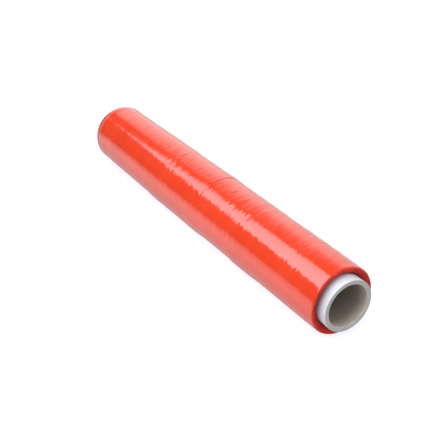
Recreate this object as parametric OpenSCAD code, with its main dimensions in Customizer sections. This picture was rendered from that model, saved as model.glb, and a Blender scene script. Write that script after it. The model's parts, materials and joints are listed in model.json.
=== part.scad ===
// A hand roll of coloured stretch film, wound on a paperboard core and lying on its side.
// The roll's axis runs along X, with the end that shows its core standing out at +X.
// The origin is on the ground under the middle of the core, and +Z points up.

/* [Core] */
// Bore of the core, that a dispenser's spindle or hub goes into
core_bore = 50; // [38:0.5:76.5]
// Wall of the core
core_wall = 5; // [2:0.25:8]
// How far the core stands out past the film at +X
core_out_near = 10; // [2:0.5:60]
// How far the core stands out past the film at -X
core_out_far = 8; // [2:0.5:60]
// Bevel that the cutting leaves on the edges of the core
core_bevel = 0.4; // [0.1:0.05:0.8]

/* [Film] */
// Width of the film, along the roll
film_w = 500; // [250:5:750]
// Thickness of all the wound turns, from the core to the crown of the roll
film_build = 10; // [8:0.25:45]
// How far the crown lies from the middle of the film, towards -X
crown_shift = 40; // [0:5:100]
// How much less the radius is at the +X end than at the crown
fall_near = 0.7; // [0:0.1:2]
// How much less the radius is at the -X end than at the crown
fall_far = 0.9; // [0:0.1:2]
// Depth of the small flat spot on which the soft roll lies, where the film is narrowest
flat_depth = 0.1; // [0.05:0.05:0.5]

/* [Ends of the film] */
// Length of the rounded shoulder at the +X end
shoulder_near_l = 2.5; // [1:0.25:10]
// Height of the rounded shoulder at the +X end
shoulder_near_h = 2.2; // [1:0.1:4]
// Length of the rounded shoulder at the -X end
shoulder_far_l = 8; // [1:0.25:15]
// Height of the rounded shoulder at the -X end
shoulder_far_h = 3.5; // [1:0.1:4]
// How far the turns next to the core lie back from the outer turns at +X
dish_near = 4.5; // [0:0.25:8]
// How far the turns next to the core lie back from the outer turns at -X
dish_far = 2; // [0:0.25:8]
// Distance between the turns that show on the ends
turn_pitch = 0.8; // [0.5:0.05:2]
// How far every other one of those turns lies back
turn_step = 0.3; // [0.05:0.05:0.6]

/* [Bands around the film] */
// Height of the broad band on the half towards -X
band_far = 0.3; // [0:0.05:1]
// Height of the band at the middle of the roll
band_middle = 0.3; // [0:0.05:1]
// Depth of the wide hollow on the half towards +X
hollow_near = 0.15; // [0:0.05:0.5]
// Distance between the rings of points that give the film's body its shape
ring_step = 5; // [2:0.5:10]

/* [Hidden] */
$fn = 144;

core_r = core_bore / 2 + core_wall;
core_len = film_w + core_out_near + core_out_far;
film_r = core_r + film_build;
film_mid = (core_out_far - core_out_near) / 2;
film_near = film_mid + film_w / 2;
film_far = film_mid - film_w / 2;
crown_x = film_mid - crown_shift;
shoulder_steps = 6;

// Each band has its place from the middle of the film and half its length, both as a
// share of half the film's width, and then its height. A hollow has a height below zero.
bands = [
    [-0.42, 0.28, band_far],
    [0.045, 0.16, band_middle],
    [0.6, 0.24, -hollow_near]
];

// A smooth rise that is 1 at u = 0 and 0 from u = 1 on, on both sides.
function rise(u) = abs(u) < 1 ? (1 + cos(180 * u)) / 2 : 0;

function sum(v, i = 0) = i < len(v) ? v[i] + sum(v, i + 1) : 0;

function band_height(x) =
    sum([for (b = bands) b[2] * rise(((x - film_mid) / (film_w / 2) - b[0]) / b[1])]);

// How much the radius has fallen from the crown at place x.
function fall(x) = x > crown_x
    ? fall_near * pow((x - crown_x) / (film_near - crown_x), 2)
    : fall_far * pow((x - crown_x) / (film_far - crown_x), 2);

// The radius of the body, to a hundredth of a millimetre, so that what is nearly straight is straight.
function body_r(x) = round(100 * (film_r - fall(x) + band_height(x))) / 100;

// The end of the film, from the core to the crest, where every other turn lies back.
// side is 1 at +X and -1 at -X, and the points run from the core outwards.
function end_face(end_x, side, crest_r, dish) =
    let (n = floor((crest_r - core_r) / turn_pitch))
    [for (i = [0:n])
        let (share = 1 - i / n)
        [core_r + (crest_r - core_r) * (1 - share),
         end_x - side * (dish * pow(share, 1.5) + turn_step * (i % 2) * sign(n - i))]];

// The rounded shoulder, a quarter of an ellipse from the crest to the body.
function shoulder(end_x, side, length, height) =
    let (body = body_r(end_x - side * length))
    [for (i = [1:shoulder_steps])
        let (a = 90 * i / shoulder_steps)
        [body - height * (1 - sin(a)), end_x - side * length * (1 - cos(a))]];

body_near = film_near - shoulder_near_l;
body_far = film_far + shoulder_far_l;
body_n = ceil((body_near - body_far) / ring_step);
body = [for (i = [1:body_n - 1])
    let (x = body_near + (body_far - body_near) * i / body_n)
    [body_r(x), x]];

// The ground takes the same small depth off the narrowest ring of the body.
axis_h = min([for (p = body) p[0]]) - flat_depth;

near_face = end_face(film_near, 1, body_r(body_near) - shoulder_near_h, dish_near);
far_face = end_face(film_far, -1, body_r(body_far) - shoulder_far_h, dish_far);
near_round = shoulder(film_near, 1, shoulder_near_l, shoulder_near_h);
far_round = shoulder(film_far, -1, shoulder_far_l, shoulder_far_h);

function reversed(v) = [for (i = [len(v) - 1:-1:0]) v[i]];

// Turns a profile, given as radius and place along the roll, about the roll's axis.
// The turning starts and ends at the back, away from the flat spot.
module turned(profile) {
    translate([0, 0, axis_h])
        rotate([0, 90, 0])
            rotate([0, 0, 90])
                rotate_extrude()
                    polygon(profile);
}

// The core is one wound paperboard tube, open from end to end.
module core_tube() {
    bore_r = core_bore / 2;
    end_x = core_len / 2;
    color("gainsboro")
        turned([
            [bore_r + core_bevel, end_x],
            [core_r - core_bevel, end_x],
            [core_r, end_x - core_bevel],
            [core_r, core_bevel - end_x],
            [core_r - core_bevel, -end_x],
            [bore_r + core_bevel, -end_x],
            [bore_r, core_bevel - end_x],
            [bore_r, end_x - core_bevel]
        ]);
}

// All the turns of film are one solid that grips the core and lies flat on the ground.
module film_roll() {
    ground = 2 * core_len;
    color("orangered")
        difference() {
            turned(concat(near_face, near_round, body, reversed(far_round), reversed(far_face)));
            translate([-ground / 2, -ground / 2, -ground])
                cube(ground);
        }
}

core_tube();
film_roll();
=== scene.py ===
"""Looks of a hand roll of orange-red stretch film that lies on its side on a white table."""
import json
import math

import bpy
import numpy as np
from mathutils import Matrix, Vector


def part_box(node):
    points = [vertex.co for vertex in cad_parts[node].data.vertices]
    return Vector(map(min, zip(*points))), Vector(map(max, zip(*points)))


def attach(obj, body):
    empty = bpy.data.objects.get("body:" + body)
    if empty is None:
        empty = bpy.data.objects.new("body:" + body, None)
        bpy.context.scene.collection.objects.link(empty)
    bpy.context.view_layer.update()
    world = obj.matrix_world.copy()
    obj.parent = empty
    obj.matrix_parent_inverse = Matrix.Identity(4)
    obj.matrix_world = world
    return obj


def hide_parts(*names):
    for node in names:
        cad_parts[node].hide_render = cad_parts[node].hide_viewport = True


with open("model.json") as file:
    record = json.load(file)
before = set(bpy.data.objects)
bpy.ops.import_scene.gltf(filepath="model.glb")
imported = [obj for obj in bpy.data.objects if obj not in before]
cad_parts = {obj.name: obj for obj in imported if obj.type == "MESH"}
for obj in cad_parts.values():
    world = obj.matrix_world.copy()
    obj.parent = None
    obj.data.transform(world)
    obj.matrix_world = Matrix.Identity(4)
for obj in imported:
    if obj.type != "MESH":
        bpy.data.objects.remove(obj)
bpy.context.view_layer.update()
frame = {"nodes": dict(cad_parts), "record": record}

MM = 0.001
SEED = 7

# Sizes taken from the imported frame, in metres
bore = next(m for m in frame["record"]["mounts"] if m["name"] == "core_bore")
AXIS_H = bore["pos_m"][2]
BORE_R = bore["dims"]["r_mm"] * MM
core_lo, core_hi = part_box("core_tube")
film_lo, film_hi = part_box("film_roll")
CORE_NEAR = core_hi.x
CORE_FAR = core_lo.x
FILM_NEAR = film_hi.x
FILM_FAR = film_lo.x
CORE_R = (core_hi.y - core_lo.y) / 2

# The shapes of the film's two ends, the same as in the solid. A shoulder has a length and a height.
SHOULDER_NEAR = (2.5 * MM, 2.2 * MM)
SHOULDER_FAR = (8 * MM, 3.5 * MM)
DISH_NEAR = 4.5 * MM
DISH_FAR = 2 * MM
CORE_BEVEL = 0.4 * MM


def solid_points(node):
    """Place along the roll and distance from its axis of each point of a CAD node."""
    mesh = frame["nodes"][node].data
    points = np.empty(len(mesh.vertices) * 3)
    mesh.vertices.foreach_get("co", points)
    x, y, z = points.reshape(-1, 3).T
    return x, np.hypot(y, z - AXIS_H)


def body_profile():
    """The radius of the film's body at the solid's own rings, without its flat spot."""
    x, r = solid_points("film_roll")
    spare = MM / 10
    inside = x > FILM_FAR + SHOULDER_FAR[0] - spare
    inside &= x < FILM_NEAR - SHOULDER_NEAR[0] + spare
    x, r = x[inside], r[inside]
    # The rings of the inner wall and of the dished end are left out.
    places = np.unique(np.round(x, 5))
    radii = np.array([r[np.abs(x - p) < 2e-5].max() for p in places])
    outer = radii > radii.max() - 3 * MM
    return places[outer], radii[outer]


BODY_X, BODY_R = body_profile()


def body_radius(x):
    """The radius of the film's body at place x along the roll."""
    return np.interp(x, BODY_X, BODY_R)


# The film's free end lies on the hidden side, where the radius steps by a few turns' thickness.
TAIL_ANGLE = math.radians(-38)
TAIL_STEP = 0.1 * MM
# The step lies between two columns of points that are this angle apart, in radians.
TAIL_GAP = 0.004
# The free end's edge wanders by this angle, in radians, over this length along the roll.
TAIL_WANDER = 0.02
TAIL_WANDER_LENGTH = 60 * MM


def smooth_noise(u, v, cells_v, seed):
    """Smooth random values from -1 to 1.

    u is never below 0. v runs round the roll from 0 to 1 and meets itself.
    """
    cells_u = int(np.ceil(u.max())) + 3
    grid = np.random.default_rng(seed).uniform(-1, 1, (cells_u, cells_v))
    i = np.floor(u).astype(int)
    fu = u - i
    fu = fu * fu * (3 - 2 * fu)
    w = (v % 1) * cells_v
    j = np.floor(w).astype(int)
    fv = w - j
    fv = fv * fv * (3 - 2 * fv)
    j0 = j % cells_v
    j1 = (j + 1) % cells_v
    low = grid[i, j0] * (1 - fv) + grid[i, j1] * fv
    high = grid[i + 1, j0] * (1 - fv) + grid[i + 1, j1] * fv
    return low * (1 - fu) + high * fu


# Creases that run round the film: place along the roll in mm at the start and at the end,
# angle in degrees at the start and at the end, half the width in mm, and depth in mm.
# Angles count from +Y up over the top. A depth below zero stands out.
CREASES = [
    (12, 22, 26, 96, 1.5, 0.7),
    (17, 23, 60, 122, 2.4, 0.14),
    (10, 22, 20, 125, 10, -0.22),
    (18, 27, 104, 160, 1.6, 0.09),
    (-67, -61, 58, 106, 1.2, 0.3),
    (40, 58, 62, 104, 2.2, 0.14),
    (62, 74, 66, 100, 1.8, 0.12),
    (-88, -94, 78, 122, 1.2, 0.09),
    (-79, -77, 152, 184, 1.1, 0.13),
    (-73, -71, 156, 182, 1.0, 0.10),
    (-58, -56, 124, 150, 1.2, 0.05),
    (54, 60, 108, 150, 1.2, 0.07),
    (82, 78, 152, 182, 1.1, 0.11),
    (84, 102, 96, 146, 1.3, 0.08),
    (120, 124, 92, 122, 1.2, 0.07),
    (190, 197, 36, 76, 1.6, 0.22),
    (-158, -156, 98, 124, 1.2, 0.07),
    (52, 51, 164, 184, 1.1, 0.12),
    (150, 156, 164, 196, 1.3, 0.10),
    (-190, -196, 160, 196, 1.5, 0.12),
    (-30, -26, 166, 200, 1.3, 0.10),
    (216, 212, 136, 170, 1.1, 0.07),
    (-126, -112, 240, 330, 1.6, 0.18),
    (46, 34, 290, 370, 1.6, 0.18),
    (136, 146, -20, 40, 1.5, 0.16),
    (-214, -204, -30, 36, 1.5, 0.18),
    (96, 90, 210, 262, 1.4, 0.15),
]


# Patches where the film is crossed by many short creases: place along the roll and half
# length in mm, angle and half spread in degrees, and how many.
CROSSED = [
    (-62, 11, 126, 9, 26),
    (-66, 10, 178, 14, 12),
    (-20, 16, 130, 8, 10),
    (17, 9, 127, 8, 18),
    (26, 20, 176, 14, 8),
    (76, 12, 130, 8, 12),
    (104, 6, 120, 6, 8),
    (198, 9, 134, 8, 9),
]
# How much painted shade the short creases get beside the long ones, so that they never read as marks
SHORT_CREASE_SHADE = 0.15
# A crease gets painted shade on the film from the first depth on, and most from the second on, in mm.
SHADED_DEPTH = 0.1
DARKEST_DEPTH = 0.25


def short_creases():
    """The same six numbers as in CREASES, for each of the short creases in the crossed patches."""
    random = np.random.default_rng(SEED + 60)
    found = []
    for place, half, middle, spread, count in CROSSED:
        for _ in range(count):
            x = place + half * random.normal() * 0.7
            angle = middle + spread * random.uniform(-1, 1)
            lean = random.uniform(-2.5, 4.5)
            span = random.uniform(6, 13)
            width = random.uniform(0.7, 1.0)
            depth = random.uniform(0.06, 0.19)
            found.append((x - lean / 2, x + lean / 2, angle - span, angle + span, width, depth))
    return found


def degrees_from(middle, angle):
    """How many degrees each angle lies past the middle, from -180 to 180."""
    return (np.degrees(angle) - middle + 180) % 360 - 180


def creases(x, angle):
    """Depth of all the creases in metres, and how much painted shade each point gets from them, from 0
    to 1.
    """
    deep = np.zeros_like(x)
    painted_crease_shade = np.zeros_like(x)
    long = [(crease, 1.0) for crease in CREASES]
    short = [(crease, SHORT_CREASE_SHADE) for crease in short_creases()]
    for (x_from, x_to, a_from, a_to, width, depth), darkness in long + short:
        t = degrees_from((a_from + a_to) / 2, angle) / (a_to - a_from) + 0.5
        along = np.clip(4 * t * (1 - t), 0, 1)
        across = (x / MM - x_from - (x_to - x_from) * t) / width
        shape = along * np.exp(-across ** 2)
        deep += depth * MM * shape
        if depth > SHADED_DEPTH:
            painted_crease_shade = np.maximum(painted_crease_shade, darkness * shape * min(1, depth / DARKEST_DEPTH))
    return deep, painted_crease_shade


# Where loose turns sag by the roll's foot or stand off its back: from and to along the roll in
# mm, angle in degrees, and how far in mm.
SAGS = [
    (-106, 14, 224, 0.95),
    (88, 132, 224, 0.9),
    (-44, 150, 46, 0.2),
    (150, 240, 44, 0.45),
]
# How softly a sag starts and ends along the roll, in mm, and its half width in degrees
SAG_START = 2
SAG_END = 4
SAG_SPREAD = 20


def sags(x, angle):
    """How far loose turns stand out, in metres."""
    out = np.zeros_like(x)
    for x_from, x_to, middle, height in SAGS:
        start = 1 / (1 + np.exp(-(x / MM - x_from) / SAG_START))
        end = 1 / (1 + np.exp((x / MM - x_to) / SAG_END))
        round_roll = np.exp(-(degrees_from(middle, angle) / SAG_SPREAD) ** 2)
        out += height * MM * start * end * round_roll
    return out


def slanted(s, angle, lean, cell, cells_round, seed):
    """Wrinkles cell mm wide that move lean mm towards +X for each radian round the roll."""
    turned = angle - TAIL_ANGLE
    shifted = s + 20 + lean * (2 * np.pi - turned)
    return smooth_noise(shifted / cell, turned / (2 * np.pi), cells_round, seed)


# Stretches of the roll where the fine wrinkles are deeper: place and half length in mm, and
# how much deeper.
WRINKLED = [
    (-60, 20, 0.9),
    (18, 13, 0.8),
    (78, 24, 0.9),
    (107, 8, 0.6),
    (198, 12, 0.6),
]


def wrinkles(x, angle):
    """Fine wrinkles that run round the roll, straight and aslant, stronger in some patches."""
    turn = angle / (2 * np.pi)
    s = (x - FILM_FAR) / MM
    patches = 0.4 + 0.2 * smooth_noise((s + 9) / 31, turn + 0.3, 6, SEED + 3)
    for place, half, more in WRINKLED:
        patches += more * np.exp(-((x / MM - place) / half) ** 2)
    straight = smooth_noise((s + 3 + 0.7 * np.sin(angle + 1)) / 2.2, turn, 29, SEED)
    narrow = slanted(s, angle, lean=5, cell=3.3, cells_round=31, seed=SEED + 4)
    folds = slanted(s, angle, lean=20, cell=6, cells_round=14, seed=SEED + 8)
    broad = smooth_noise((s + 9 + 5 * np.sin(2 * angle)) / 34, turn + 0.11, 5, SEED + 2)
    # The fine wrinkles are deepest over the front of the top, and the folds over the back.
    front = 0.55 + 0.45 * np.cos(angle - math.radians(118))
    top = 0.5 + 0.5 * np.cos(angle - math.radians(75))
    fine = (0.1 * straight + 0.095 * narrow) * front * patches
    return (fine + 0.13 * top * folds + 0.04 * broad) * MM


# The film's tightly wound edges make a low lip round its end at -X. A dark line of painted shade lies
# on the shoulder, in a shallow groove at the edge of the last few turns, and comes further in on the
# softbox's side.
# Just inside it a pale line is a painted highlight.
LIP_PLACE = 8.5 * MM
LIP_WIDTH = 3 * MM
LIP_HEIGHT = 0.3 * MM
EDGE_PLACE = 4.5 * MM
EDGE_WIDTH = 2.4 * MM
EDGE_DEPTH = 0.12 * MM
EDGE_SWING = 6 * MM
EDGE_SWING_ANGLE = 194
EDGE_SWING_SPREAD = 34
EDGE_NARROWING = 1.4 * MM
PALE_PLACE = 2.2 * MM
PALE_WIDTH = 1.8 * MM


def rim(x, angle):
    """Height of the lip in metres, and how strongly each point takes the painted shade and the painted
    highlight.
    """
    off = x - FILM_FAR
    inward = np.exp(-((np.degrees(angle) - EDGE_SWING_ANGLE) / EDGE_SWING_SPREAD) ** 2)
    line = EDGE_PLACE + EDGE_SWING * inward
    width = EDGE_WIDTH - EDGE_NARROWING * inward
    lip = LIP_HEIGHT * np.exp(-((off - LIP_PLACE) / LIP_WIDTH) ** 2)
    edge = np.exp(-((off - line) / width) ** 4)
    rim_highlight_share = np.exp(-((off - line - width - PALE_PLACE) / PALE_WIDTH) ** 2)
    return lip - EDGE_DEPTH * edge * inward, edge, rim_highlight_share


# Points round the film's mesh, and the distance between its rows on the body and on the ends
AROUND = 112
BODY_STEP = 0.7 * MM
FACE_STEP = 0.12 * MM
# The wrinkles and sags fade out over this length at each end.
RELIEF_FADE = 6 * MM
# On the shoulder at +X, the turns' edges show below this angle, in degrees.
TURNS_SHOW_BELOW = 50
# The spiral of turns that shows on the ends of the film
TURN_PITCH = 0.34 * MM


def face_offsets(r, angle, crest_r, dish, seed):
    """How far the end of the film lies back at radius r: a dish whose turns are uneven."""
    share = np.clip((crest_r - r) / (crest_r - CORE_R), 0, 1)
    turn_no = (r - CORE_R) / TURN_PITCH - angle / (2 * np.pi) + 2
    uneven = smooth_noise(turn_no, 0.5 * np.ones_like(r), 4, seed)
    slow = smooth_noise(turn_no / 3, angle / (2 * np.pi), 5, seed + 1)
    edge = np.clip((crest_r - r) / (0.6 * MM), 0, 1)
    # The innermost turns lie back from the core in a narrow gap.
    gap = 0.8 * MM * np.clip(1 - (r - CORE_R) / (0.7 * MM), 0, 1) ** 2
    return dish * share ** 1.5 + gap + (0.13 * uneven + 0.2 * slow + 0.12) * MM * edge


# Where the body starts and ends, its radius there, and the radius at the crest of each end
BODY_NEAR = FILM_NEAR - SHOULDER_NEAR[0]
BODY_FAR = FILM_FAR + SHOULDER_FAR[0]
BODY_NEAR_R = body_radius(BODY_NEAR)
BODY_FAR_R = body_radius(BODY_FAR)
CREST_NEAR_R = BODY_NEAR_R - SHOULDER_NEAR[1]
CREST_FAR_R = BODY_FAR_R - SHOULDER_FAR[1]


def film_rows():
    """Rows of the film's mesh, from the core at +X round to the core at -X.

    Each has its kind, and then its radius on an end, its angle on a shoulder or its place on
    the body.
    """
    inner = CORE_R + 0.03 * MM
    body_count = int((BODY_NEAR - BODY_FAR) / BODY_STEP)
    rows = [("near_face", r) for r in np.arange(inner, CREST_NEAR_R, FACE_STEP)]
    rows += [("near_shoulder", a) for a in np.linspace(0, 90, 10)[:-1]]
    rows += [("body", x) for x in np.linspace(BODY_NEAR, BODY_FAR, body_count)]
    rows += [("far_shoulder", a) for a in np.linspace(90, 0, 24)[1:]]
    rows += [("far_face", r) for r in np.arange(CREST_FAR_R, inner, -2 * FACE_STEP)[1:]]
    rows.append(("far_face", inner))
    return rows


def shoulder_point(end_x, side, size, body, degrees):
    """Place and radius on a shoulder, from 0 degrees at its crest to 90 at the body."""
    a = math.radians(degrees)
    length, height = size
    return end_x - side * length * (1 - math.cos(a)), body - height * (1 - math.sin(a))


def film_mesh():
    """The film's points, each strip's material, and the numbers that the materials read."""
    rows = film_rows()
    base = np.linspace(0, 2 * np.pi, AROUND, endpoint=False)
    columns = np.append(base, 2 * np.pi - TAIL_GAP)
    angle = np.tile(columns, (len(rows), 1)) + TAIL_ANGLE
    x = np.empty_like(angle)
    r = np.empty_like(angle)
    shade = np.zeros(len(rows), int)
    for i, (kind, value) in enumerate(rows):
        if kind == "near_face":
            r[i] = value
            x[i] = FILM_NEAR - face_offsets(r[i], angle[i], CREST_NEAR_R, DISH_NEAR, SEED + 20)
            shade[i] = 1
        elif kind == "far_face":
            r[i] = value
            x[i] = FILM_FAR + face_offsets(r[i], angle[i], CREST_FAR_R, DISH_FAR, SEED + 30)
            shade[i] = 1
        elif kind == "near_shoulder":
            x[i], r[i] = shoulder_point(FILM_NEAR, 1, SHOULDER_NEAR, BODY_NEAR_R, value)
            shade[i] = int(value < TURNS_SHOW_BELOW)
        elif kind == "far_shoulder":
            x[i], r[i] = shoulder_point(FILM_FAR, -1, SHOULDER_FAR, BODY_FAR_R, value)
        else:
            x[i] = value
            r[i] = body_radius(value)
    outside = np.array(["face" not in kind for kind, _ in rows])
    fade = np.clip(np.minimum(FILM_NEAR - x, x - FILM_FAR) / RELIEF_FADE, 0.15, 1)
    deep, painted_crease_shade = creases(x, angle)
    raised, dark, rim_highlight_share = rim(x, angle)
    relief = wrinkles(x, angle) * fade - deep + raised + sags(x, angle) * fade
    spiral = TAIL_STEP * ((angle - TAIL_ANGLE) / (2 * np.pi) - 0.5)
    r[outside] += (relief + spiral)[outside]
    # The free end's edge wanders a little along the roll.
    places = (x - FILM_FAR) / TAIL_WANDER_LENGTH
    wander = TAIL_WANDER * smooth_noise(places, np.zeros_like(x), 3, SEED + 5)
    angle = angle + wander * outside[:, None]
    y = r * np.cos(angle)
    z = AXIS_H + r * np.sin(angle)
    # A strip of faces shows the turns' edges only if both its rows do.
    strips = np.minimum(shade[:-1], shade[1:])
    values = {"painted_crease_shade": painted_crease_shade * outside[:, None], "rim": dark, "painted_rim_highlight": rim_highlight_share}
    return x, y, np.maximum(z, 0), strips, values


def grid_object(name, x, y, z, materials, strips, close_rows=False):
    """A mesh of rows that each run once round the roll.

    strips gives the material of the faces from each row to the next.
    """
    rows, cols = x.shape
    points = np.stack([x, y, z], -1).reshape(-1, 3)
    i, j = np.meshgrid(np.arange(rows if close_rows else rows - 1), np.arange(cols), indexing="ij")
    i2 = (i + 1) % rows
    j2 = (j + 1) % cols
    quads = np.stack([i * cols + j, i * cols + j2, i2 * cols + j2, i2 * cols + j], -1).reshape(-1, 4)
    mesh = bpy.data.meshes.new(name)
    mesh.from_pydata(points.tolist(), [], quads.tolist())
    for material in materials:
        mesh.materials.append(material)
    mesh.polygons.foreach_set("material_index", strips[i].reshape(-1).astype(np.int32))
    mesh.polygons.foreach_set("use_smooth", np.ones(len(quads), bool))
    mesh.update()
    mesh.validate()
    obj = bpy.data.objects.new(name, mesh)
    bpy.context.scene.collection.objects.link(obj)
    return obj


def add_values(obj, name, values):
    """Gives each point of a mesh a number that its materials read."""
    attribute = obj.data.attributes.new(name, "FLOAT", "POINT")
    attribute.data.foreach_set("value", values.reshape(-1).astype(np.float32))


# Materials


class Nodes:
    """Short calls for building a material's node tree."""

    def __init__(self, name, world=None):
        self.owner = world or bpy.data.materials.new(name)
        self.owner.use_nodes = True
        self.tree = self.owner.node_tree
        self.tree.nodes.clear()

    def add(self, kind, values=None, **props):
        node = self.tree.nodes.new(kind)
        for key, value in props.items():
            setattr(node, key, value)
        for key, value in (values or {}).items():
            if isinstance(value, bpy.types.NodeSocket):
                self.tree.links.new(value, node.inputs[key])
            else:
                node.inputs[key].default_value = value
        return node

    def math(self, operation, a, b=0.0, c=0.0):
        node = self.add("ShaderNodeMath", {0: a, 1: b, 2: c}, operation=operation)
        return node.outputs[0]

    def ramp(self, value, stops):
        """A colour ramp of (place, colour) stops."""
        node = self.add("ShaderNodeValToRGB", {"Fac": value})
        elements = node.color_ramp.elements
        while len(elements) < len(stops):
            elements.new(0.5)
        for element, (place, colour) in zip(elements, stops):
            element.position = place
            element.color = colour
        return node.outputs["Color"]

    def mix(self, factor, a, b, blend="MIX"):
        node = self.add("ShaderNodeMix", data_type="RGBA", blend_type=blend)
        for socket, value in ((0, factor), (6, a), (7, b)):
            if isinstance(value, bpy.types.NodeSocket):
                self.tree.links.new(value, node.inputs[socket])
            else:
                node.inputs[socket].default_value = value
        return node.outputs[2]

    def noise(self, vector, scale, detail=2.0, roughness=0.5):
        values = {"Vector": vector, "Scale": scale, "Detail": detail, "Roughness": roughness}
        return self.add("ShaderNodeTexNoise", values).outputs["Fac"]

    def stretched(self, scale):
        """The object's own coordinates, stretched by scale on each axis."""
        coordinates = self.add("ShaderNodeTexCoord").outputs["Object"]
        return self.add("ShaderNodeMapping", {"Vector": coordinates, "Scale": scale}).outputs["Vector"]


def grey(level):
    return (level, level, level, 1)


def roll_coordinates(n):
    """The distance from the roll's axis and the place along it, in metres."""
    coordinates = n.add("ShaderNodeTexCoord").outputs["Object"]
    parts = n.add("ShaderNodeSeparateXYZ", {"Vector": coordinates})
    up = n.math("SUBTRACT", parts.outputs["Z"], AXIS_H)
    square = n.math("ADD", n.math("POWER", parts.outputs["Y"], 2.0), n.math("POWER", up, 2.0))
    return n.math("SQRT", square), parts.outputs["X"]


def film_material():
    """The outside of the film: glossy and clear-coated, with painted shade in creases and by the far
    edge, and a painted highlight inside it.
    """
    n = Nodes("film_gloss")
    streaks = n.noise(n.stretched((420, 6, 6)), 1.0, 3.0)
    bands = n.noise(n.stretched((45, 4, 4)), 1.0, 2.0)
    mottle = n.noise(n.stretched((60, 60, 60)), 1.0, 2.0)
    tone = n.math("ADD", n.math("MULTIPLY", streaks, 0.3), n.math("MULTIPLY", bands, 0.7))
    colour = n.ramp(tone, [
        (0.3, (0.88, 0.054, 0.015, 1)),
        (0.5, (0.92, 0.063, 0.019, 1)),
        (0.72, (0.95, 0.073, 0.024, 1)),
    ])
    # Painted shade darkens the film in its creases.
    painted_crease_shade = n.add("ShaderNodeAttribute", attribute_name="painted_crease_shade").outputs["Fac"]
    colour = n.mix(n.math("MULTIPLY", painted_crease_shade, 0.6), colour, (0.45, 0.012, 0.006, 1))
    # Painted shade: a dark line on the shoulder by the far edge.
    dark = n.add("ShaderNodeAttribute", attribute_name="rim").outputs["Fac"]
    colour = n.mix(n.math("MULTIPLY", dark, 0.8), colour, (0.16, 0.008, 0.008, 1))
    # Painted highlight: a pale line just inside the dark line.
    painted_rim_highlight = n.add("ShaderNodeAttribute", attribute_name="painted_rim_highlight").outputs["Fac"]
    colour = n.mix(n.math("MULTIPLY", painted_rim_highlight, 0.5), colour, (1.0, 0.32, 0.26, 1))
    rough = n.math("ADD", 0.1, n.math("MULTIPLY", mottle, 0.12))
    fine = n.noise(n.stretched((800, 10, 10)), 1.0, 2.0)
    wide = n.noise(n.stretched((230, 9, 9)), 1.0, 2.0)
    height = n.math("ADD", n.math("MULTIPLY", fine, 0.35), wide)
    bump = n.add("ShaderNodeBump", {"Strength": 0.12, "Distance": 0.0003, "Height": height})
    shader = n.add("ShaderNodeBsdfPrincipled", {
        "Base Color": colour,
        "Roughness": rough,
        "IOR": 1.52,
        "Specular IOR Level": 0.8,
        "Coat Weight": 0.6,
        "Coat Roughness": 0.06,
        "Sheen Weight": 0.3,
        "Sheen Roughness": 0.3,
        "Sheen Tint": (1, 0.25, 0.18, 1),
        "Normal": bump.outputs["Normal"],
    })
    n.add("ShaderNodeOutputMaterial", {"Surface": shader.outputs[0]})
    return n.owner


def film_edge_material():
    """The ends of the film: the edges of its turns, in the film's own red at the rim and darkened by
    painted shade towards the core.
    """
    n = Nodes("film_turn_edges")
    radius, _ = roll_coordinates(n)
    rings = n.add("ShaderNodeCombineXYZ", {"X": n.math("MULTIPLY", radius, 1500.0)}).outputs[0]
    lines = n.noise(rings, 1.0, 3.0, 0.6)
    patches = n.noise(n.stretched((160, 160, 160)), 1.0, 3.0)
    share = n.math("DIVIDE", n.math("SUBTRACT", radius, CORE_R), 8 * MM)
    # Painted shade: the turns' edges darken towards the core, most in the gap beside it.
    colour = n.ramp(share, [
        (0.0, (0.16, 0.005, 0.006, 1)),
        (0.14, (0.46, 0.012, 0.012, 1)),
        (0.5, (0.74, 0.022, 0.015, 1)),
        (0.86, (0.86, 0.040, 0.020, 1)),
        (1.0, (0.92, 0.052, 0.020, 1)),
    ])
    uneven = n.math("ADD", n.math("MULTIPLY", lines, 0.7), n.math("MULTIPLY", patches, 0.3))
    shade = n.ramp(uneven, [(0.38, (0.5, 0.42, 0.42, 1)), (0.6, (1, 1, 1, 1))])
    colour = n.mix(1.0, colour, shade, "MULTIPLY")
    bump = n.add("ShaderNodeBump", {"Strength": 0.6, "Distance": 0.0003, "Height": lines})
    shader = n.add("ShaderNodeBsdfPrincipled", {
        "Base Color": colour,
        "Roughness": n.math("ADD", 0.4, n.math("MULTIPLY", lines, 0.2)),
        "IOR": 1.5,
        "Specular IOR Level": 0.3,
        "Normal": bump.outputs["Normal"],
    })
    n.add("ShaderNodeOutputMaterial", {"Surface": shader.outputs[0]})
    return n.owner


def board_material(name, stops, stretch, roughness, bump_distance, shading=None):
    """Paper or board: a fibre pattern between the ramp's colours, times shading(nodes)."""
    n = Nodes(name)
    fibres = n.noise(n.stretched(stretch), 1.0, 5.0, 0.65)
    clouds = n.noise(n.stretched((70, 70, 70)), 1.0, 3.0)
    specks = n.noise(n.stretched((1500, 1500, 1500)), 1.0, 2.0)
    tone = n.math("ADD", n.math("MULTIPLY", fibres, 0.55), n.math("MULTIPLY", clouds, 0.3))
    tone = n.math("ADD", tone, n.math("MULTIPLY", specks, 0.15))
    colour = n.ramp(tone, stops)
    if shading:
        colour = n.mix(1.0, colour, shading(n), "MULTIPLY")
    bump = n.add("ShaderNodeBump", {"Strength": 0.5, "Distance": bump_distance, "Height": fibres})
    shader = n.add("ShaderNodeBsdfPrincipled", {
        "Base Color": colour,
        "Roughness": n.math("ADD", roughness, n.math("MULTIPLY", fibres, 0.1)),
        "IOR": 1.45,
        "Specular IOR Level": 0.35,
        "Normal": bump.outputs["Normal"],
    })
    n.add("ShaderNodeOutputMaterial", {"Surface": shader.outputs[0]})
    return n.owner


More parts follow.
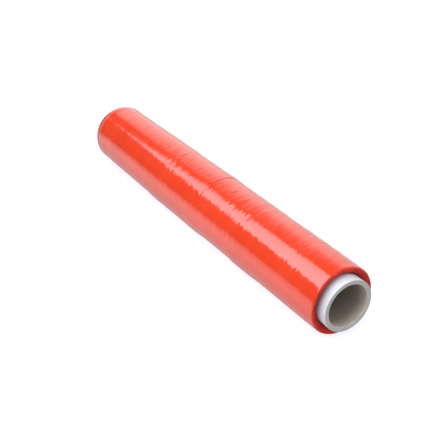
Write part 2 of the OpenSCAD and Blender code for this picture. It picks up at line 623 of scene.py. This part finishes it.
def painted_shade_on_paper(n):
    """Painted shade on the white paper beside the film, tinted red as by light bounced off the film."""
    painted_film_shade = n.add("ShaderNodeAttribute", attribute_name="painted_film_shade").outputs["Fac"]
    return n.ramp(painted_film_shade, [(0.0, grey(1.0)), (1.0, (0.50, 0.32, 0.33, 1))])


# How far into the bore its colour changes, from painted light at the mouths to painted shade further in
MOUTH_LIGHT_DEPTH = 60 * MM


def painted_light_at_mouth(n):
    """Painted light and shade: the bore is paler at its mouths, where light falls in, than further in.
    """
    _, place = roll_coordinates(n)
    depth = n.math("SUBTRACT", CORE_NEAR, n.math("ABSOLUTE", place))
    share = n.math("DIVIDE", depth, MOUTH_LIGHT_DEPTH)
    return n.ramp(share, [(0.0, grey(1.0)), (0.08, grey(0.84)), (0.25, grey(0.5)), (1.0, grey(0.5))])


def core_materials():
    """White paper outside, cut board at the ends and raw board in the bore."""
    paper = board_material(
        "core_white_paper",
        stops=[(0.3, (0.78, 0.83, 0.90, 1)), (0.7, (0.86, 0.91, 0.98, 1))],
        stretch=(120, 400, 400),
        roughness=0.55,
        bump_distance=0.0001,
        # The paper gets painted shade, tinted red, beside the film.
        shading=painted_shade_on_paper,
    )
    cut = board_material(
        "core_cut_board",
        stops=[(0.3, (0.44, 0.43, 0.41, 1)), (0.7, (0.66, 0.65, 0.62, 1))],
        stretch=(300, 900, 900),
        roughness=0.8,
        bump_distance=0.0002,
    )
    inside = board_material(
        "core_bore_board",
        stops=[(0.3, (0.60, 0.535, 0.445, 1)), (0.7, (0.84, 0.76, 0.66, 1))],
        stretch=(160, 500, 500),
        roughness=0.75,
        bump_distance=0.0002,
        # The bore gets painted light at its mouths and painted shade further in.
        shading=painted_light_at_mouth,
    )
    return [paper, cut, inside]


# The core

# Points round the core's mesh, and rows on a cut end, on the middle of the outside and in the bore
CORE_AROUND = 144
CUT_ROWS = 44
MIDDLE_ROWS = 30
BORE_ROWS = 240
# The rows on the core's outside lie close together over this length at each end.
CORE_FINE = 22 * MM
CORE_FINE_STEP = 0.5 * MM
# Angles on the rounded edges between the outside and the cut ends
EDGE_ANGLES = [22.5, 45, 67.5]
PLY = 0.5 * MM
# The seams of the wound paper and board: how far one moves along the core for each turn, its
# half width as a share of a turn, and how deep it lies
PAPER_SEAM = 105 * MM
PAPER_SEAM_WIDTH = 0.006
PAPER_SEAM_DEPTH = 0.12 * MM
BORE_SEAM = 98 * MM
BORE_SEAM_WIDTH = 0.008
BORE_SEAM_DEPTH = 0.25 * MM
# The side of the core where the painted shade beside the film reaches furthest and is darkest
SHADE_SIDE_ANGLE = math.radians(154)


def painted_shade_by_film(x, angle):
    """How much painted shade the paper gets at each point beside the film, from 0 to 1: most on one
    side.
    """
    side = np.clip(np.cos(angle - SHADE_SIDE_ANGLE), 0, 1) ** 3
    width = (2.5 + 5.5 * side) * MM
    painted_film_shade = np.zeros_like(x)
    # The paper comes into sight where the innermost turns end, a dish's depth inside the film.
    for dish, beyond in ((DISH_NEAR, x - FILM_NEAR), (DISH_FAR, FILM_FAR - x)):
        clear = np.clip(beyond + dish, 0, 1)
        painted_film_shade += np.exp(-(clear / width) ** 2) * (beyond > -2 * dish)
    return painted_film_shade * (0.06 + 0.94 * side)


def core_rows():
    """Rows of the core's mesh, from the bore at +X over the outside and back through the bore.

    Each has its kind, and then its radius on a cut end, its angle on a rounded edge or its
    place along the core.
    """
    cuts = np.linspace(BORE_R + CORE_BEVEL, CORE_R - CORE_BEVEL, CUT_ROWS)
    fine_near = CORE_NEAR - CORE_FINE
    fine_far = CORE_FAR + CORE_FINE
    outside = np.concatenate([
        np.arange(CORE_NEAR - CORE_BEVEL, fine_near, -CORE_FINE_STEP),
        np.linspace(fine_near - 2 * MM, fine_far + 2 * MM, MIDDLE_ROWS),
        np.arange(fine_far, CORE_FAR + CORE_BEVEL, -CORE_FINE_STEP),
    ])
    inside = np.linspace(CORE_FAR + CORE_BEVEL, CORE_NEAR - CORE_BEVEL, BORE_ROWS)
    rows = [("near_cut", r) for r in cuts]
    rows += [("near_round", a) for a in EDGE_ANGLES]
    rows += [("outside", x) for x in outside]
    rows += [("far_round", a) for a in EDGE_ANGLES[::-1]]
    rows += [("far_cut", r) for r in cuts[::-1]]
    rows += [("bore", x) for x in inside]
    return rows


def seam(place, pitch, turn, width):
    """How strongly each point lies in a seam that winds along the core, from 0 to 1."""
    share = ((place - CORE_FAR) / pitch - turn) % 1
    return np.exp(-((share - 0.5) / width) ** 2)


def cut_depth(r, turn):
    """How far a cut end lies back at radius r: a groove between plies, and uneven fibres."""
    plies = (r - BORE_R) / PLY
    fibres = smooth_noise(np.full(CORE_AROUND, plies + 2), turn, 7, SEED + 40)
    groove = abs(plies % 1 - 0.5) * 2
    return (0.05 * groove ** 4 + 0.05 * (fibres + 1)) * MM


def core_mesh():
    """The core's points, each strip's material, and how much painted shade each point gets beside the
    film.

    It is one tube, with plies at its cut ends and spiral seams outside and in the bore.
    """
    angle_row = np.linspace(0, 2 * np.pi, CORE_AROUND, endpoint=False)
    turn = angle_row / (2 * np.pi)
    rows = core_rows()
    angle = np.tile(angle_row, (len(rows), 1))
    x = np.empty_like(angle)
    r = np.empty_like(angle)
    shade = np.zeros(len(rows), int)
    bevel = (CORE_BEVEL, CORE_BEVEL)
    for i, (kind, value) in enumerate(rows):
        if kind == "near_cut":
            x[i] = CORE_NEAR - cut_depth(value, turn)
            r[i] = value
            shade[i] = 1
        elif kind == "far_cut":
            x[i] = CORE_FAR + cut_depth(value, turn)
            r[i] = value
            shade[i] = 1
        elif kind == "near_round":
            x[i], r[i] = shoulder_point(CORE_NEAR, 1, bevel, CORE_R, value)
        elif kind == "far_round":
            x[i], r[i] = shoulder_point(CORE_FAR, -1, bevel, CORE_R, value)
        elif kind == "outside":
            x[i] = value
            r[i] = CORE_R - PAPER_SEAM_DEPTH * seam(value, PAPER_SEAM, turn, PAPER_SEAM_WIDTH)
        else:
            x[i] = value
            r[i] = BORE_R + BORE_SEAM_DEPTH * seam(value, BORE_SEAM, turn - 0.3, BORE_SEAM_WIDTH)
            shade[i] = 2
    y = r * np.cos(angle)
    z = AXIS_H + r * np.sin(angle)
    return x, y, z, shade, painted_shade_by_film(x, angle)


# Floor, light and camera


# The table's edge on the softbox's side, which the film mirrors as a sharp line
TABLE_EDGE = -0.375
TABLE_REACH = 12.0


def table_material():
    """White table: near white to the camera, with the roll's own faint shadow."""
    n = Nodes("table_white")
    path = n.add("ShaderNodeLightPath")
    places = n.add("ShaderNodeTexCoord").outputs["Object"]
    y = n.add("ShaderNodeSeparateXYZ", {"Vector": places}).outputs["Y"]

    def share(low, high):
        """0 where y is low and 1 where it is high."""
        values = {"Value": y, "From Min": low, "From Max": high}
        return n.add("ShaderNodeMapRange", values).outputs["Result"]

    # The film mirrors painted light in the table's glow: the sweep behind the roll and a strip in front
    # of it brighter than the rest, and painted shade that makes the roll's foot darker.
    strip = n.math("MULTIPLY", share(-0.05, -0.1), share(-0.22, -0.13))
    foot = n.math("MULTIPLY", share(-0.03, -0.022), share(0.03, 0.01))
    mirrored = n.math("ADD", n.math("MULTIPLY", share(0.02, 0.12), 0.2), n.math("MULTIPLY", strip, 0.3))
    mirrored = n.math("SUBTRACT", mirrored, n.math("MULTIPLY", foot, 0.18))
    camera = n.math("MULTIPLY", path.outputs["Is Camera Ray"], 0.56)
    glossy = n.math("MULTIPLY", path.outputs["Is Glossy Ray"], mirrored)
    strength = n.math("ADD", n.math("ADD", camera, glossy), 0.28)
    glow = n.add("ShaderNodeEmission", {"Color": (0.91, 0.95, 1.0, 1), "Strength": strength})
    matte = n.add("ShaderNodeBsdfDiffuse", {"Color": grey(0.36)})
    both = n.add("ShaderNodeAddShader", {0: glow.outputs[0], 1: matte.outputs[0]})
    n.add("ShaderNodeOutputMaterial", {"Surface": both.outputs[0]})
    return n.owner


def make_table():
    """The table's top, which reaches far behind the roll."""
    far = TABLE_REACH
    corners = [(-far, TABLE_EDGE, 0), (far, TABLE_EDGE, 0), (far, far, 0), (-far, far, 0)]
    mesh = bpy.data.meshes.new("table_top")
    mesh.from_pydata(corners, [], [(0, 1, 2, 3)])
    mesh.materials.append(table_material())
    obj = bpy.data.objects.new("table_top", mesh)
    bpy.context.scene.collection.objects.link(obj)


def make_world():
    """A white sweep behind the roll and a dark room in front of it, seen white by the camera."""
    world = bpy.data.worlds.new("studio")
    bpy.context.scene.world = world
    n = Nodes("studio", world)
    direction = n.add("ShaderNodeTexCoord").outputs["Generated"]
    parts = n.add("ShaderNodeSeparateXYZ", {"Vector": direction})
    x, y, z = (parts.outputs[k] for k in ("X", "Y", "Z"))

    def rise(value, low, high):
        """A smooth rise from 0 at low to 1 at high."""
        values = {"Value": value, "From Min": low, "From Max": high}
        return n.add("ShaderNodeMapRange", values, interpolation_type="SMOOTHSTEP").outputs["Result"]

    # What the gloss reflects: a white sweep behind that fades upwards, and a dark room.
    low_part = n.math("SUBTRACT", 1.0, rise(z, 0.4, 0.82))
    grazing = n.math("MULTIPLY", rise(y, 0.6, 0.85), 0.3)
    behind = n.math("MULTIPLY", rise(y, -0.02, 0.16), low_part)
    behind = n.math("MULTIPLY", behind, n.math("SUBTRACT", 1.0, grazing))
    right = rise(x, 0.1, 0.9)
    mirrored = n.math("ADD", n.math("MULTIPLY", behind, 1.03), n.math("MULTIPLY", right, 0.12))
    mirrored = n.math("ADD", mirrored, 0.03)
    # What lights the roll softly from all round, most from above and from the camera's side.
    across = n.math("ADD", n.math("MULTIPLY", x, 0.45), n.math("MULTIPLY", z, 0.89))
    across = n.math("SUBTRACT", across, n.math("MULTIPLY", y, 0.1))
    ambient = n.math("ADD", 0.49, n.math("MULTIPLY", rise(z, -0.2, 0.9), 0.05))
    ambient = n.math("ADD", ambient, n.math("MULTIPLY", rise(across, 0.75, 0.97), 0.8))
    path = n.add("ShaderNodeLightPath")
    strength = n.add("ShaderNodeMix", data_type="FLOAT")
    n.tree.links.new(path.outputs["Is Glossy Ray"], strength.inputs[0])
    n.tree.links.new(ambient, strength.inputs[2])
    n.tree.links.new(mirrored, strength.inputs[3])
    white = n.math("MAXIMUM", strength.outputs[0], path.outputs["Is Camera Ray"])
    back = n.add("ShaderNodeBackground", {"Color": grey(1.0), "Strength": white})
    n.add("ShaderNodeOutputWorld", {"Surface": back.outputs[0]})


# The softbox stands to the left of the roll. Its lower edge and its far side, which leans
# and fades, give the bright band on the film its outline.
SOFTBOX_CORNER = Vector((-0.75, -0.185, 0.318 + AXIS_H))
SOFTBOX_ALONG = Vector((0.93, -0.37, 0.0)).normalized()
SOFTBOX_WIDTH = 1.3
SOFTBOX_HEIGHT = 1.25
SOFTBOX_LEAN = 0.19
# How far along the panel its light starts, reaches the far side's level, and is brightest.
GLOW_START = 0.01
GLOW_FAR = 0.105
GLOW_NEAR = 0.65
FAR_STRENGTH = 2.05
NEAR_STRENGTH = 3.2


def glow_material(name, start, end, strength_start, strength_end):
    """Light on the front side only, that changes evenly along the panel, square to the lean."""
    n = Nodes(name)
    places = n.add("ShaderNodeTexCoord").outputs["Object"]
    axes = n.add("ShaderNodeSeparateXYZ", {"Vector": places}).outputs
    along = n.math("DIVIDE", n.math("SUBTRACT", axes["X"], SOFTBOX_CORNER.x), SOFTBOX_ALONG.x)
    up = n.math("SUBTRACT", axes["Z"], SOFTBOX_CORNER.z)
    strength = n.add("ShaderNodeMapRange", {
        "Value": n.math("ADD", along, n.math("MULTIPLY", up, SOFTBOX_LEAN)),
        "From Min": start,
        "From Max": end,
        "To Min": strength_start,
        "To Max": strength_end,
    }).outputs["Result"]
    glow = n.add("ShaderNodeEmission", {"Color": (0.95, 0.945, 1.03, 1), "Strength": strength})
    dark = n.add("ShaderNodeEmission", {"Color": grey(0.0)})
    facing = n.add("ShaderNodeNewGeometry").outputs["Backfacing"]
    both = n.add("ShaderNodeMixShader", {0: facing, 1: glow.outputs[0], 2: dark.outputs[0]})
    n.add("ShaderNodeOutputMaterial", {"Surface": both.outputs[0]})
    return n.owner


def make_panel(name, left, right, material):
    """A flat lit panel in the softbox's plane. Each side is given as its foot and its head."""
    outline = [(left[0], 0), (right[0], 0), (right[1], SOFTBOX_HEIGHT), (left[1], SOFTBOX_HEIGHT)]
    corners = [SOFTBOX_CORNER + SOFTBOX_ALONG * u + Vector((0, 0, v)) for u, v in outline]
    mesh = bpy.data.meshes.new(name)
    mesh.from_pydata(corners[::-1], [], [(0, 1, 2, 3)])
    mesh.materials.append(material)
    obj = bpy.data.objects.new(name, mesh)
    obj.visible_camera = False
    bpy.context.scene.collection.objects.link(obj)


def make_softbox():
    """The softbox's far side, which fades out, and the rest of it."""
    shift = SOFTBOX_LEAN * SOFTBOX_HEIGHT
    outer = (GLOW_START, GLOW_START - shift)
    inner = (GLOW_FAR, GLOW_FAR - shift)
    fading = glow_material("softbox_fading", GLOW_START, GLOW_FAR, 0.0, FAR_STRENGTH)
    make_panel("softbox_far_side", outer, inner, fading)
    glow = glow_material("softbox_glow", GLOW_FAR, GLOW_NEAR, FAR_STRENGTH, NEAR_STRENGTH)
    make_panel("softbox", inner, (SOFTBOX_WIDTH, SOFTBOX_WIDTH), glow)


# The camera was fitted to the photograph's outlines.
CAMERA_AZIMUTH = math.radians(57.77)
CAMERA_HEIGHT_ANGLE = math.radians(29.64)
CAMERA_PLACE = Vector((0.8163, -0.5049, 0.5219 + AXIS_H))
FOCAL_PIXELS = 892.4
IMAGE_PIXELS = 440
SENSOR = 36.0


def make_camera():
    """The camera, placed as the photograph was taken."""
    data = bpy.data.cameras.new("photo_camera")
    data.sensor_width = SENSOR
    data.lens = SENSOR * FOCAL_PIXELS / IMAGE_PIXELS
    data.clip_end = 100
    camera = bpy.data.objects.new("photo_camera", data)
    camera.location = CAMERA_PLACE
    camera.rotation_euler = (math.pi / 2 - CAMERA_HEIGHT_ANGLE, 0, CAMERA_AZIMUTH)
    bpy.context.scene.collection.objects.link(camera)
    bpy.context.scene.camera = camera


def make_film():
    """The film with its wrinkles, in place of the plain solid."""
    x, y, z, strips, values = film_mesh()
    film = grid_object("film_wound", x, y, z, [film_material(), film_edge_material()], strips)
    for name, numbers in values.items():
        add_values(film, name, numbers)
    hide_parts("film_roll")
    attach(film, "root")


def make_core():
    """The core with its plies and seams, in place of the plain solid."""
    x, y, z, strips, painted_film_shade = core_mesh()
    core = grid_object("core_board", x, y, z, core_materials(), strips, close_rows=True)
    add_values(core, "painted_film_shade", painted_film_shade)
    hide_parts("core_tube")
    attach(core, "root")


bpy.context.scene.view_settings.view_transform = "Standard"
make_camera()
make_world()
make_table()
make_softbox()
make_film()
make_core()
